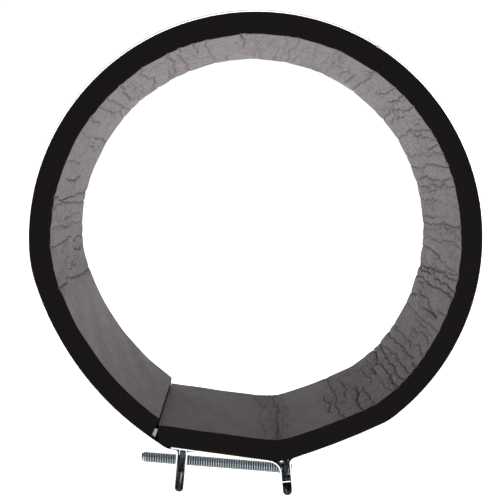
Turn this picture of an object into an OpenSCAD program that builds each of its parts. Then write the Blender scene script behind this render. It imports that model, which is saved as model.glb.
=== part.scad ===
// Lined pipe repair clamp: a thin steel band with a soft liner glued inside it,
// drawn together by two screws that pass through two folded lugs.
// The pipe axis is Y, and both lug tips stand on one plane below it.

/* [Pipe and band] */
// Radius of the pipe seat, the inside of the closed liner
bore_r = 101.6; // [98:0.1:130]
// Width of the band, along the pipe
band_w = 76.2; // [65:0.1:150]
// Thickness of the steel strip
strip_t = 0.7; // [0.5:0.05:1]
// Thickness of the soft liner
liner_t = 10.7; // [8.5:0.1:13]
// Thickness of the glue film between strip and liner
glue_t = 0.2; // [0.1:0.05:0.4]

/* [Shape of the open ring] */
// Clock angle of the place where the ring flexes, counted from +X towards +Z
flex_angle = 98.5; // [92:0.5:110]
// Angle of round band on the left of the flex place
left_arc = 84.5; // [80:0.5:88]
// Angle of round band on the right of the flex place
right_arc = 147.8; // [144:0.5:150]
// Bend where the left side leaves the circle: radius on the strip's inner face
left_knee_r = 67; // [50:1:80]
// Bend where the left side leaves the circle: angle
left_knee = 16; // [13:0.5:18]
// Radius of the flattened left side, on the strip's inner face
left_flat_r = 150; // [140:1:160]
// Angle that the flattened left side turns through
left_flat = 38; // [36:0.5:39]
// Radius of the tight corner next to the left lug
corner_r = 9; // [6:0.5:10]
// Bend where the right side leaves the circle: radius
right_knee_r = 28; // [20:1:40]
// Bend where the right side leaves the circle: angle
right_knee = 13; // [11:0.5:14]
// Radius of the flattened right side
right_flat_r = 380; // [300:10:500]
// Angle that the flattened right side turns through
right_flat = 7.35; // [6:0.05:8]
// Slope of the flap under the liner, falling towards the right lug
flap_slope = 6; // [5:0.5:7]
// How far the flap cuts inside the circle of the strip
flap_dip = 3.75; // [3:0.05:4.5]
// Distance from the tight corner back to the plane where the liner ends meet
butt_back = 2.5; // [2:0.1:4]
// Softening radius of the liner where it passes the right lug
liner_bend_r = 25; // [18:1:26]

/* [Lugs] */
// Reach of both lug tips beyond the circle of the strip
lug_reach = 16.6; // [14:0.1:22]
// Inside width of the left lug's fold
left_gap = 4.2; // [4:0.1:5]
// Inside width of the right lug's fold
right_gap = 4.5; // [4:0.1:6]
// Lean of the right lug, its tip away from the left lug
right_lean = 7.5; // [5:0.5:9]
// Root bends of the left lug
left_root_r = 1.7; // [1:0.1:2.5]
// Root bend of the right lug's outer leg
right_root_r = 3; // [2:0.5:4]
// Sweeping root bend of the right lug's inner leg
sweep_r = 7; // [5:0.5:8]
// Straight tongue between the tight corner and the left lug
tongue_len = 2; // [1:0.5:4]
// Short end flange beyond the left lug
flange_len = 2; // [1:0.5:4]
// Size of the small tabs that hold the right fold open, along the band's width
tab_w = 4; // [3:0.5:5]
// Distance of the tabs above the lug tips
tab_rise = 7.5; // [6:0.5:9]

/* [Screws and nuts] */
// Major diameter of the screws
screw_d = 6.35; // [5.5:0.05:6.5]
// Thread pitch, the travel of a nut in one turn
pitch = 1.27; // [1:0.01:1.5]
// Turns from the closed ring until the nuts are near the ends of the screws
open_turns = 14; // [8:1:15]
// Length of thread beyond the middle of the nut while the ring is closed
spare_thread = 21.5; // [20:0.5:40]
// Distance of the screw axes beyond the circle of the strip
screw_reach = 5.6; // [4.5:0.1:8]
// Fall of the screws towards the right lug
screw_tilt = 2.8; // [2:0.1:4]
// Distance of each screw from the nearer edge of the band
screw_inset = 12.7; // [11:0.1:16]
// Width across flats of the nuts and of the screws' trapped heads
hex_af = 11.1; // [10:0.1:12]
// Length of a screw beyond the middle of its head, on the driven side
stub_len = 3.7; // [3.4:0.1:9]
// Width across flats of the drive socket
socket_af = 3.2; // [2.5:0.1:4]
// Depth of the drive socket
socket_depth = 3; // [2:0.1:3.3]
// Depth of the thread as a share of its pitch
thread_share = 0.61; // [0.55:0.01:0.65]
// Chamfer of the hexagons' corners
hex_chamfer = 0.4; // [0.2:0.1:0.6]

/* [Clearances] */
// Gap between soft or sliding faces on different bodies
gap = 0.3; // [0.2:0.05:0.4]
// Radial play of a nut on its screw
thread_play = 0.05; // [0.03:0.01:0.1]
// Radial play of a screw in a lug hole
hole_play = 0.45; // [0.4:0.05:0.8]
// Play of a nut between the left lug's legs, at each side, with the ring fully open
nut_play = 0.27; // [0.1:0.01:0.4]
// Play of a screw's head between the right lug's legs, at each side
head_play = 0.2; // [0.1:0.01:0.4]
// Play beyond the swing at the end of the left lug's long holes
slot_play = 0.2; // [0.1:0.05:0.4]

/* [Hidden] */
$fn = 96;

// Bends under this radius are tight and take the coarser of the two angle steps
tight_r = 20;
tight_step = 10;
wide_step = 3;
// The liner is drawn this much too thick, and the pipe seat is then cut out of it
seat_cut = 1;
// Depth that a tab reaches into the leg that carries it
tab_root = 0.3;
// Size that is larger than the whole clamp, for cutting
far = 3 * bore_r;
// Overshoot of a cut beyond the face that it goes through
over = 1;

// Radius of the strip's inner face, the reference line of every path
line_r = bore_r + liner_t + glue_t;
// Distance from the pipe axis to the flap's and the tongue's inner faces
flap_dist = line_r - flap_dip;
tongue_dist = flap_dist + strip_t + gap;
// Distance from the pipe axis down to the lug tips and to the screw axes
foot_drop = line_r + lug_reach;
screw_drop = line_r + screw_reach;
// Depth of the thread, and of the chamfer at a screw's tip
thread_depth = thread_share * pitch;

// A pose is [x, z, heading], and a path is a list of stretches [radius, turn].
// A turn above 0 bends towards the pipe and below 0 away from it, in degrees.
// Radius 0 marks a straight stretch, whose second number is its length.
// Side is 1 for a path that runs anticlockwise and -1 for a clockwise one.
// Offsets count outwards from the path.
function toward(p, side, q) = p[2] + side * q * 90;
function arc_centre(p, r, side, q) =
    [p[0] + r * cos(toward(p, side, q)), p[1] + r * sin(toward(p, side, q))];
function after(p, s, side) = s[0] == 0
    ? [p[0] + s[1] * cos(p[2]), p[1] + s[1] * sin(p[2]), p[2]]
    : let (q = sign(s[1]), c = arc_centre(p, s[0], side, q),
           a = toward(p, side, q) + 180 + side * s[1])
      [c[0] + s[0] * cos(a), c[1] + s[0] * sin(a), p[2] + side * s[1]];
function poses(p, path, side, i = 0) = i == len(path)
    ? [p] : concat([p], poses(after(p, path[i], side), path, side, i + 1));
function last_pose(p, path, side) = let (all = poses(p, path, side)) all[len(all) - 1];

// Length to go straight on from p so that the bend [r, turn] ends on the line that
// lies dist below the pipe axis and falls to the right by flap_slope
flap_normal = [sin(flap_slope), cos(flap_slope)];
function landing(p, r, turn, side, dist) =
    let (e = after(p, [r, turn], side))
    -(e[0] * flap_normal[0] + e[1] * flap_normal[1] + dist)
    / (cos(p[2]) * flap_normal[0] + sin(p[2]) * flap_normal[1]);

// Length of a leg that goes down from p so that its round tip touches the foot plane
function leg_len(p, r, side) = let (c = arc_centre(p, r, side, 1))
    (c[1] + foot_drop - r - strip_t) / abs(sin(p[2]));

// Start of both paths: the flex place, heading left or right
function start(side) = [line_r * cos(flex_angle), line_r * sin(flex_angle),
                        flex_angle + side * 90];

// Tail: left side, tight corner, tongue, left lug and end flange
tail_ring = [[line_r, left_arc], [left_knee_r, left_knee], [left_flat_r, left_flat]];
tail_ring_end = last_pose(start(1), tail_ring, 1);
corner_turn = 360 - flap_slope - tail_ring_end[2];
tail_run_in = [0, landing(tail_ring_end, corner_r, corner_turn, 1, tongue_dist)];
tail_side = concat(tail_ring, [tail_run_in]);
corner_start = last_pose(start(1), tail_side, 1);
butt_x = corner_start[0] - butt_back;
left_fold = 90 + screw_tilt - flap_slope;
tongue = concat(tail_side, [[corner_r, corner_turn], [0, tongue_len], [left_root_r, -left_fold]]);
left_leg_start = last_pose(start(1), tongue, 1);
left_leg = leg_len(left_leg_start, left_gap / 2, 1);
left_tip_start = after(left_leg_start, [0, left_leg], 1);
left_tip_end = after(left_tip_start, [left_gap / 2, 180], 1);
left_rise = landing(left_tip_end, left_root_r, left_fold - 180, 1, tongue_dist);
tail_path = concat(tongue, [[0, left_leg], [left_gap / 2, 180], [0, left_rise],
                            [left_root_r, left_fold - 180], [0, flange_len]]);

// Main part: right side, right lug, sweep and flap
right_ring = [[line_r, right_arc], [right_knee_r, right_knee], [right_flat_r, right_flat]];
right_ring_end = last_pose(start(-1), right_ring, -1);
right_fold = -90 + right_lean - right_ring_end[2];
right_leg_start = after(right_ring_end, [right_root_r, -right_fold], -1);
right_leg = leg_len(right_leg_start, right_gap / 2, -1);
right_tip_start = after(right_leg_start, [0, right_leg], -1);
right_tip_end = after(right_tip_start, [right_gap / 2, 180], -1);
sweep = 90 - flap_slope - right_lean;
right_rise = landing(right_tip_end, sweep_r, -sweep, -1, flap_dist);
lug_path = [[right_root_r, -right_fold], [0, right_leg], [right_gap / 2, 180],
            [0, right_rise], [sweep_r, -sweep]];
flap_start = last_pose(right_ring_end, lug_path, -1);
// The flap stops where the tail's tight corner ends
flap_len = (flap_start[0] - last_pose(start(1), concat(tail_side, [[corner_r, corner_turn]]), 1)[0])
    / cos(flap_slope);

// Liner of the main part: it runs straight past the lug's mouth and along the flap
liner_turn = right_ring_end[2] + 180 + flap_slope;
liner_past = [[0, landing(right_ring_end, liner_bend_r, liner_turn, -1, flap_dist)],
              [liner_bend_r, liner_turn]];
liner_flap_start = last_pose(right_ring_end, liner_past, -1);
liner_flap = (liner_flap_start[0] - butt_x) / cos(flap_slope);

// Axes of the screws, with X along the screw and the origin under the pipe axis
axis_dir = [cos(screw_tilt), -sin(screw_tilt)];
axis_foot = [-screw_drop * sin(screw_tilt), -screw_drop * cos(screw_tilt)];
// Place along the screw axis where a fold's middle line crosses it
function crossing(c, heading) = let (d = [c[0] - axis_foot[0], c[1] - axis_foot[1]])
    (d[0] * sin(heading) - d[1] * cos(heading))
    / (axis_dir[0] * sin(heading) - axis_dir[1] * cos(heading));
nut_at = crossing(arc_centre(left_tip_start, left_gap / 2, 1, 1), left_tip_start[2]);
head_at = crossing(arc_centre(right_tip_start, right_gap / 2, -1, 1), right_tip_start[2]);
front_y = -band_w / 2 + screw_inset;
rear_y = -front_y;
hole_r = screw_d / 2 + hole_play;

// The ring's swing when the nuts have travelled their whole way, about the strip's
// outer face at the flex place, and how far the left lug's holes then rise
flex = (line_r + strip_t) * [cos(flex_angle), sin(flex_angle)];
flex_height = (flex[0] - axis_foot[0]) * sin(screw_tilt) + (flex[1] - axis_foot[1]) * cos(screw_tilt);
flex_along = (flex[0] - axis_foot[0]) * cos(screw_tilt) - (flex[1] - axis_foot[1]) * sin(screw_tilt);
swing = open_turns * pitch / flex_height * 180 / PI;
hole_rise = flex_height * (1 - cos(swing)) + (flex_along - nut_at) * sin(swing);
swing_slot = hole_rise + slot_play;

// Thickness of a nut and of a trapped head, which tilt between the legs around them
nut_t = (left_gap - 2 * nut_play - hex_af * sin(swing)) / cos(swing);
head_tilt = right_lean + screw_tilt;
head_t = (right_gap - 2 * head_play - hex_af * sin(head_tilt)) / cos(head_tilt);
left_end = nut_at - spare_thread;
screw_len = head_at + stub_len - left_end;

// Every pose that a path's outline needs, with the bends cut into short steps
function trace(p, path, side) = let (all = poses(p, path, side)) concat(
    [for (i = [0 : len(path) - 1])
        let (s = path[i], n = s[0] == 0 ? 1 : ceil(abs(s[1]) / (s[0] < tight_r ? tight_step : wide_step)))
        for (k = [0 : n - 1]) after(all[i], [s[0], s[0] == 0 ? 0 : s[1] * k / n], side)],
    [all[len(path)]]);
function aside(p, side, d) = let (a = toward(p, side, -1)) [p[0] + d * cos(a), p[1] + d * sin(a)];

// The outline of a path between the offsets d0 and d1
module run(p, path, side, d0, d1) {
    line = trace(p, path, side);
    last = len(line) - 1;
    polygon(concat([for (q = line) aside(q, side, d0)],
                   [for (i = [0 : last]) aside(line[last - i], side, d1)]));
}

// Extrudes a drawing in the X-Z plane over the width w, centred on the pipe axis
module across(w) {
    rotate([90, 0, 0]) linear_extrude(w, center = true) children();
}

// Places children on a screw axis at width position y, with X along the screw
module on_screw(y) {
    translate([axis_foot[0], y, axis_foot[1]]) rotate([0, screw_tilt, 0]) children();
}

// Cylinder along X from x0, of length l
module rod(x0, l, r) {
    translate([x0, 0, 0]) rotate([0, 90, 0]) cylinder(h = l, r = r);
}

// Hexagon along X, centred on x0, with flats above and below and chamfered corners
module hex_block(x0, t, af) {
    corner = af / sqrt(3);
    intersection() {
        translate([x0 - t / 2, 0, 0]) rotate([0, 90, 0]) cylinder(h = t, r = corner, $fn = 6);
        translate([x0 - t / 2, 0, 0]) rotate([0, 90, 0])
            rotate_extrude() polygon([[0, 0], [af / 2, 0], [corner, hex_chamfer],
                                      [corner, t - hex_chamfer], [af / 2, t], [0, t]]);
    }
}

// Holes through the left lug, long enough towards the tip for the ring's swing
module left_holes() {
    reach = left_gap + 4 * strip_t;
    for (y = [front_y, rear_y]) on_screw(y) {
        rod(nut_at - reach / 2, reach, hole_r);
        translate([0, 0, -swing_slot]) rod(nut_at - reach / 2, reach, hole_r);
        translate([nut_at - reach / 2, -hole_r, -swing_slot]) cube([reach, 2 * hole_r, swing_slot]);
    }
}

// Holes through the right lug
module right_holes() {
    reach = right_gap + 6 * strip_t;
    for (y = [front_y, rear_y]) on_screw(y) rod(head_at - reach / 2, reach, hole_r);
}

// Small tabs bent in from the inner leg at both edges of the band
module fold_tabs() {
    tip = arc_centre(right_tip_start, right_gap / 2, -1, 1);
    for (side = [-1, 1])
        translate([tip[0], side * (band_w - tab_w) / 2, tip[1]]) rotate([0, -right_lean, 0])
            translate([-right_gap / 2 - tab_root, -tab_w / 2, tab_rise - right_gap / 2 - strip_t])
            cube([right_gap - gap + tab_root, tab_w, strip_t]);
}

module band_main() color("silver") {
    difference() {
        across(band_w) run(start(-1), concat(right_ring, lug_path, [[0, flap_len]]), -1, 0, strip_t);
        right_holes();
    }
    fold_tabs();
}

module band_tail() color("silver") difference() {
    across(band_w) run(start(1), tail_path, 1, 0, strip_t);
    left_holes();
}

module liner_main() color("dimgray") across(band_w) difference() {
    run(start(-1), concat(right_ring, liner_past, [[0, liner_flap]]), -1,
        -glue_t - liner_t - seat_cut, -glue_t);
    circle(bore_r);
    run(tail_ring_end, [tail_run_in, [corner_r, corner_turn]], 1, -gap, liner_t);
    translate([butt_x + gap / 2 - far, -far]) square([far, far]);
}

module liner_tail() color("dimgray") across(band_w) difference() {
    run(start(1), tail_side, 1, -glue_t - liner_t - seat_cut, -glue_t);
    circle(bore_r);
    translate([butt_x - gap / 2, -far]) square([far, far]);
}

module glue_main() color("khaki") across(band_w) run(start(-1), right_ring, -1, -glue_t, 0);

module glue_flap() color("khaki") across(band_w) run(flap_start, [[0, flap_len]], -1, -glue_t, 0);

module glue_tail() color("khaki") across(band_w) difference() {
    run(start(1), tail_side, 1, -glue_t, 0);
    translate([butt_x - gap / 2, -far]) square([far, far]);
}

// Fully threaded screw: long shank to the left, trapped hexagon, driven stub to the right
module screw(y) color("lightsteelblue") on_screw(y) {
    difference() {
        union() {
            translate([left_end, 0, 0]) rotate([0, 90, 0])
                cylinder(h = thread_depth, r1 = screw_d / 2 - thread_depth, r2 = screw_d / 2);
            rod(left_end + thread_depth, screw_len - thread_depth, screw_d / 2);
            hex_block(head_at, head_t, hex_af);
        }
        translate([head_at + stub_len - socket_depth, 0, 0]) rotate([0, 90, 0])
            cylinder(h = socket_depth + over, r = socket_af / sqrt(3), $fn = 6);
    }
}

// Thin nut inside the left lug's fold
module nut(y) color("lightsteelblue") on_screw(y) difference() {
    hex_block(nut_at, nut_t, hex_af);
    rod(nut_at - nut_t / 2 - over, nut_t + 2 * over, screw_d / 2 + thread_play);
}

module screw_front() screw(front_y);
module screw_rear() screw(rear_y);
module nut_front() nut(front_y);
module nut_rear() nut(rear_y);

band_main();
band_tail();
liner_main();
liner_tail();
glue_main();
glue_flap();
glue_tail();
screw_front();
screw_rear();
nut_front();
nut_rear();
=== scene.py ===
# %% [markdown]
# # A lined pipe repair clamp
#
# The real thing is one springy strip of zinc plated steel, folded at both ends into lugs,
# with a thick soft liner glued inside it and two long screws that draw the lugs together.
# This lesson first loads the fixed frame, which holds every piece at its true size and place,
# and then builds the looks around it. Nothing of the frame is moved: a piece that needs a
# better shape is built again in the same place and stands for the plain one.

# %% Load the fixed frame
import math

import bmesh
import bpy
import numpy as np
from mathutils import Matrix, Vector


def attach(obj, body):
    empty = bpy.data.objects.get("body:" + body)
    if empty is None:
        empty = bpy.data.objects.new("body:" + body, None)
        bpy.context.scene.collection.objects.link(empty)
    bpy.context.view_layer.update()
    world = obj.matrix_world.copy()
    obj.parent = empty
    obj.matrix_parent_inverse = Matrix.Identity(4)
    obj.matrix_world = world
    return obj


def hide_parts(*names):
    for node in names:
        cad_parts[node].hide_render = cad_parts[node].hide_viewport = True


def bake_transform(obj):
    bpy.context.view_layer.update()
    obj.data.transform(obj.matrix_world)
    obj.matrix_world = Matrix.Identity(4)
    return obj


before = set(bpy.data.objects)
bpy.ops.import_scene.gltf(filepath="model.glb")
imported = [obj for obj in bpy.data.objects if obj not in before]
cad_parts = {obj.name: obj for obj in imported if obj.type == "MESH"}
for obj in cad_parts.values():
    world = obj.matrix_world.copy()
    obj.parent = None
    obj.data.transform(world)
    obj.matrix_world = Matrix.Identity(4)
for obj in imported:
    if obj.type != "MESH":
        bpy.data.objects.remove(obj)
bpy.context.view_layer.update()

MM = 0.001

# %% [markdown]
# ## The sizes that every piece shares
#
# A swept band could be modelled by hand, but its bends have to meet the lugs, the flap and
# the liner exactly. So the outline is worked out from a few honest sizes in millimetres,
# the same ones a sheet metal worker would mark: radii, angles and leg widths.

# %% Shared sizes in millimetres
# The pipe's radius, and the band's width and layers from the outside in
BORE_R = 101.6
BAND_W = 76.2
STRIP_T = 0.7
LINER_T = 10.7
GLUE_T = 0.2
# The line that the walk follows, the clearance between sliding faces, and the flex place
LINE_R = BORE_R + LINER_T + GLUE_T
GAP = 0.3
FLEX_ANGLE = 98.5
print("the strip's inner face lies on a circle of radius", LINE_R, "mm")

# %% Flap, lugs and screws, in millimetres and degrees
# The flap slopes and lies a little nearer the axis than the ring, and the tongue slides below it
FLAP_SLOPE = 6.0
FLAP_DIP = 3.75
FLAP_DIST = LINE_R - FLAP_DIP
TONGUE_DIST = FLAP_DIST + STRIP_T + GAP
# How far the lugs and the screw axis lie outside the ring, and the screw's tilt and place
LUG_REACH = 16.6
FOOT_DROP = LINE_R + LUG_REACH
SCREW_REACH, SCREW_TILT, SCREW_INSET = 5.6, 2.8, 12.7
SCREW_DROP = LINE_R + SCREW_REACH
SCREW_Y = BAND_W / 2 - SCREW_INSET
# The hollow inside each fold, the right fold's lean, and the radii of the bends
LEFT_GAP, RIGHT_GAP = 4.2, 4.5
RIGHT_LEAN = 7.5
CORNER_R, LEFT_ROOT_R, RIGHT_ROOT_R, SWEEP_R = 9.0, 1.7, 3.0, 7.0
print("the lugs reach", FOOT_DROP, "mm below the pipe's axis, and the screws lie", SCREW_DROP, "mm below it")

# %% [markdown]
# ## Walking along a folded strip
#
# Folded sheet metal is easiest to describe as a walk: go straight for a length, then bend
# on a radius through an angle. A pose is a place and a heading, and each stretch of the walk
# leads to the next pose. A curve object with bevel could follow such a line too, but then
# the thickness, the caps and the pattern coordinates would be out of our hands.

# %% Helpers that walk along a path
def after(pose, stretch, side, share=1.0):
    """The pose after a share of a stretch (radius, turn), or (0, length) for a straight one."""
    x, z, heading = pose
    radius, amount = stretch
    if radius == 0:
        angle = math.radians(heading)
        step = share * amount
        return x + step * math.cos(angle), z + step * math.sin(angle), heading
    bend = 1 if amount > 0 else -1
    toward = math.radians(heading + side * bend * 90)
    turned = side * share * amount
    back = toward + math.pi + math.radians(turned)
    x += radius * (math.cos(toward) + math.cos(back))
    z += radius * (math.sin(toward) + math.sin(back))
    return x, z, heading + turned


def last_pose(pose, path, side):
    """The pose at the end of a whole path."""
    for stretch in path:
        pose = after(pose, stretch, side)
    return pose


def landing(pose, bend, side, dist):
    """How far to go straight so that the bend ends on the flap's slope, dist below the axis."""
    across, down = math.sin(math.radians(FLAP_SLOPE)), math.cos(math.radians(FLAP_SLOPE))
    x, z, _ = after(pose, bend, side)
    heading = math.radians(pose[2])
    rate = math.cos(heading) * across + math.sin(heading) * down
    return -(x * across + z * down + dist) / rate


def fold_centre(pose, radius, side):
    """The middle of the bend that would start at a pose."""
    toward = math.radians(pose[2] + side * 90)
    return pose[0] + radius * math.cos(toward), pose[1] + radius * math.sin(toward)


def leg_length(pose, gap_wide, side):
    """How far a lug's leg goes so that its round tip just touches the ground."""
    centre = fold_centre(pose, gap_wide / 2, side)
    return (centre[1] + FOOT_DROP - gap_wide / 2 - STRIP_T) / abs(math.sin(math.radians(pose[2])))


def on_ring(angle, side):
    """The pose on the round part of the ring at a clock angle."""
    a = math.radians(angle)
    return LINE_R * math.cos(a), LINE_R * math.sin(a), angle + side * 90


print("a quarter turn on a 10 mm radius ends at", [round(n, 1) for n in after((0, 0, 0), (10, 90), 1)])

# %% [markdown]
# ## Where the ring bends when it opens
#
# The real strip is springy all the way round. The frame has one pivot near the top, so the
# stretch of ring around that pivot is made as its own piece between the two halves. Its ends
# lie where the halves begin, and their points match exactly.

# %% The left half's path
# Clock angles of the springy top, then stretches as a radius and a turn
TOP_FROM, TOP_TO = 52.0, 152.0
LEFT_ARC, LEFT_KNEE, LEFT_SLACK = 84.5, (67.0, 16.0), (150.0, 38.0)
BUTT_BACK, FLANGE_RUN = 2.5, 2.0
left_ring = [(LINE_R, FLEX_ANGLE + LEFT_ARC - TOP_TO), LEFT_KNEE, LEFT_SLACK]
left_start = on_ring(TOP_TO, 1)
pose = last_pose(left_start, left_ring, 1)
corner = (CORNER_R, 360 - FLAP_SLOPE - pose[2])
run_in = (0, landing(pose, corner, 1, TONGUE_DIST))
left_side = left_ring + [run_in]
left_fold = 90 + SCREW_TILT - FLAP_SLOPE
butt_x = last_pose(left_start, left_side, 1)[0] - BUTT_BACK
corner_end = last_pose(left_start, left_side + [corner], 1)
left_lug = [corner, (0, FLANGE_RUN), (LEFT_ROOT_R, -left_fold)]
pose = last_pose(left_start, left_side + left_lug, 1)
left_lug.append((0, leg_length(pose, LEFT_GAP, 1)))
left_tip = last_pose(left_start, left_side + left_lug, 1)
left_lug.append((LEFT_GAP / 2, 180))
pose = last_pose(left_start, left_side + left_lug, 1)
left_root = (LEFT_ROOT_R, left_fold - 180)
left_lug += [(0, landing(pose, left_root, 1, TONGUE_DIST)), left_root, (0, FLANGE_RUN)]
print("left lug stretches:", [tuple(round(n, 2) for n in s) for s in left_lug])

# %% The right half's path, and the liner's own way past the right lug
RIGHT_ARC, RIGHT_KNEE, RIGHT_SLACK = 147.8, (28.0, 13.0), (380.0, 7.35)
LINER_BEND_R, SPARE_END = 25.0, 4
right_ring = [(LINE_R, RIGHT_ARC - FLEX_ANGLE + TOP_FROM), RIGHT_KNEE, RIGHT_SLACK]
right_start = on_ring(TOP_FROM, -1)
right_end = last_pose(right_start, right_ring, -1)
right_fold = right_end[2] + 90 - RIGHT_LEAN
right_lug = [(RIGHT_ROOT_R, right_fold)]
pose = last_pose(right_end, right_lug, -1)
right_lug.append((0, leg_length(pose, RIGHT_GAP, -1)))
right_tip = last_pose(right_end, right_lug, -1)
right_lug.append((RIGHT_GAP / 2, 180))
pose = last_pose(right_end, right_lug, -1)
sweep_bend = (SWEEP_R, FLAP_SLOPE + RIGHT_LEAN - 90)
right_lug += [(0, landing(pose, sweep_bend, -1, FLAP_DIST)), sweep_bend]
flap_start = last_pose(right_end, right_lug, -1)
flap = (0, (flap_start[0] - corner_end[0]) / math.cos(math.radians(FLAP_SLOPE)))

liner_bend = (LINER_BEND_R, right_end[2] + 180 + FLAP_SLOPE)
liner_past = [(0, landing(right_end, liner_bend, -1, FLAP_DIST)), liner_bend]
pose = last_pose(right_end, liner_past, -1)
liner_flap = (0, (pose[0] - butt_x) / math.cos(math.radians(FLAP_SLOPE)) + SPARE_END)
print("right lug stretches:", [tuple(round(n, 2) for n in s) for s in right_lug])

# %% [markdown]
# ## Sampling a path and sweeping a section along it
#
# A path becomes rows, one for each small step, with the place, the heading and the distance
# travelled. A very short extra step at both ends of every stretch keeps the shading honest:
# the flat legs stay flat and the pieces that meet end to end share the same surface normals.
# A section is then swept over the rows, as a loft would do it, into one closed mesh.

# %% Rows along a path
NEAR_END = 0.05
WIDE_BEND = 20
STEP_WIDE, STEP_TIGHT = 2, 8


def rows_along(start, path, side, cell=None, begin=0.0):
    """Rows of x, z, outward x, outward z and distance along the band, in millimetres."""
    rows, travelled = [], 0.0
    for radius, amount in path:
        length = amount if radius == 0 else radius * math.radians(abs(amount))
        if cell:
            count = max(1, round(length / cell))
        else:
            step = STEP_WIDE if radius > WIDE_BEND else STEP_TIGHT
            count = 1 if radius == 0 else math.ceil(abs(amount) / step)
        shares = set(np.linspace(0, 1, count + 1))
        if length > 4 * NEAR_END:
            shares |= {NEAR_END / length, 1 - NEAR_END / length}
        for share in sorted(shares):
            x, z, heading = after(start, (radius, amount), side, share)
            out = math.radians(heading - side * 90)
            row = (x, z, math.cos(out), math.sin(out), begin + side * (travelled + share * length))
            if not rows or abs(row[4] - rows[-1][4]) > 1e-6:
                rows.append(row)
        start = after(start, (radius, amount), side)
        travelled += length
    return np.array(rows)


def arc_from_flex(angle):
    """Distance along the ring from the flex place, counted anticlockwise."""
    return LINE_R * math.radians(angle - FLEX_ANGLE)


print("the springy top is", round(arc_from_flex(TOP_TO) - arc_from_flex(TOP_FROM), 1), "mm long")


# %% Finishing a mesh and adding it to the scene
def finish_mesh(mesh, sharp=30):
    """Closed, tidy and shaded smooth except across real edges."""
    work = bmesh.new()
    work.from_mesh(mesh)
    bmesh.ops.recalc_face_normals(work, faces=work.faces)
    work.to_mesh(mesh)
    work.free()
    mesh.shade_smooth()
    mesh.set_sharp_from_angle(angle=math.radians(sharp))


def add_object(name, mesh):
    piece = bpy.data.objects.new(name, mesh)
    bpy.context.scene.collection.objects.link(piece)
    return piece


print("edges sharper than 30 degrees stay sharp")


# %% Sweeping a section
def sweep(name, rows, offsets, widths, finish_index=None):
    """A closed mesh: section points (offset outwards, width along Y) carried over the rows.

    offsets may differ from row to row. finish_index says which material each strip of
    faces between two section points takes, and the two end caps take the last one.
    """
    count, ring = len(rows), len(widths)
    offsets = np.broadcast_to(offsets, (count, ring))
    x = rows[:, 0:1] + offsets * rows[:, 2:3]
    z = rows[:, 1:2] + offsets * rows[:, 3:4]
    y = np.broadcast_to(widths, (count, ring))
    points = np.stack([x, y, z], axis=-1).reshape(-1, 3) * MM
    i, j = np.meshgrid(np.arange(count - 1), np.arange(ring), indexing="ij")
    k = (j + 1) % ring
    quads = np.stack([i * ring + j, (i + 1) * ring + j, (i + 1) * ring + k, i * ring + k], -1)
    faces = quads.reshape(-1, 4).tolist()
    faces += [list(range(ring)), list(range((count - 1) * ring, count * ring))]
    mesh = bpy.data.meshes.new(name)
    mesh.from_pydata(points.tolist(), [], faces)
    steps = np.hypot(np.diff(offsets[0], append=offsets[0][0]), np.diff(widths, append=widths[0]))
    around = np.concatenate([[0.0], np.cumsum(steps)])
    u = np.stack([rows[i, 4], rows[i + 1, 4], rows[i + 1, 4], rows[i, 4]], -1)
    v = np.stack([around[j], around[j], around[j + 1], around[j + 1]], -1)
    sheet = np.stack([u, v], -1).reshape(-1, 2)
    caps = np.tile([[rows[0, 4], 0.0]], (2 * ring, 1))
    layer = mesh.uv_layers.new(name="lie")
    layer.uv.foreach_set("vector", np.concatenate([sheet, caps]).astype(np.float32).ravel())
    if finish_index is not None:
        chosen = np.tile(finish_index, count - 1)
        chosen = np.concatenate([chosen, [finish_index[-1]] * 2])
        mesh.polygons.foreach_set("material_index", chosen.astype(np.int32))
    mesh.update()
    return mesh


print("a swept mesh carries its own lie as a UV map: mm along and mm around")

# %% The section of a strip
EDGE_SOFTEN = 0.14


def rounded_section(inner, outer, width, soften, corner_steps=3):
    """A rectangle from offset inner to outer and half the width each way, corners softened."""
    offsets, widths = [], []
    centres = [(inner, -1, 180), (outer, -1, 270), (outer, 1, 0), (inner, 1, 90)]
    for offset, y_side, start in centres:
        pull = 1 if offset == inner else -1
        for step in range(corner_steps + 1):
            angle = math.radians(start + 90 * step / corner_steps)
            offsets.append(offset + pull * soften + soften * math.cos(angle))
            widths.append(y_side * (width / 2 - soften) + soften * math.sin(angle))
    return np.array(offsets), np.array(widths)


strip_section = rounded_section(0, STRIP_T, BAND_W, EDGE_SOFTEN)
print("the strip's section has", len(strip_section[0]), "points")

# %% [markdown]
# ## Writing shader maths as plain sums
#
# A material is a graph of nodes. Wiring every Math node by hand hides the idea, so a small
# class wraps a socket and lets ordinary operators add the nodes: numbers use Math, vectors
# use Vector Math, and colours use Mix so that they stay colours. Everything else, such as
# a noise texture or a ramp, comes from the one method called node.

# %% The socket wrapper
def find_socket(sockets, key):
    if isinstance(key, int):
        return sockets[key]
    for socket in sockets:
        if socket.identifier == key:
            return socket
    return sockets[key]


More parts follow.
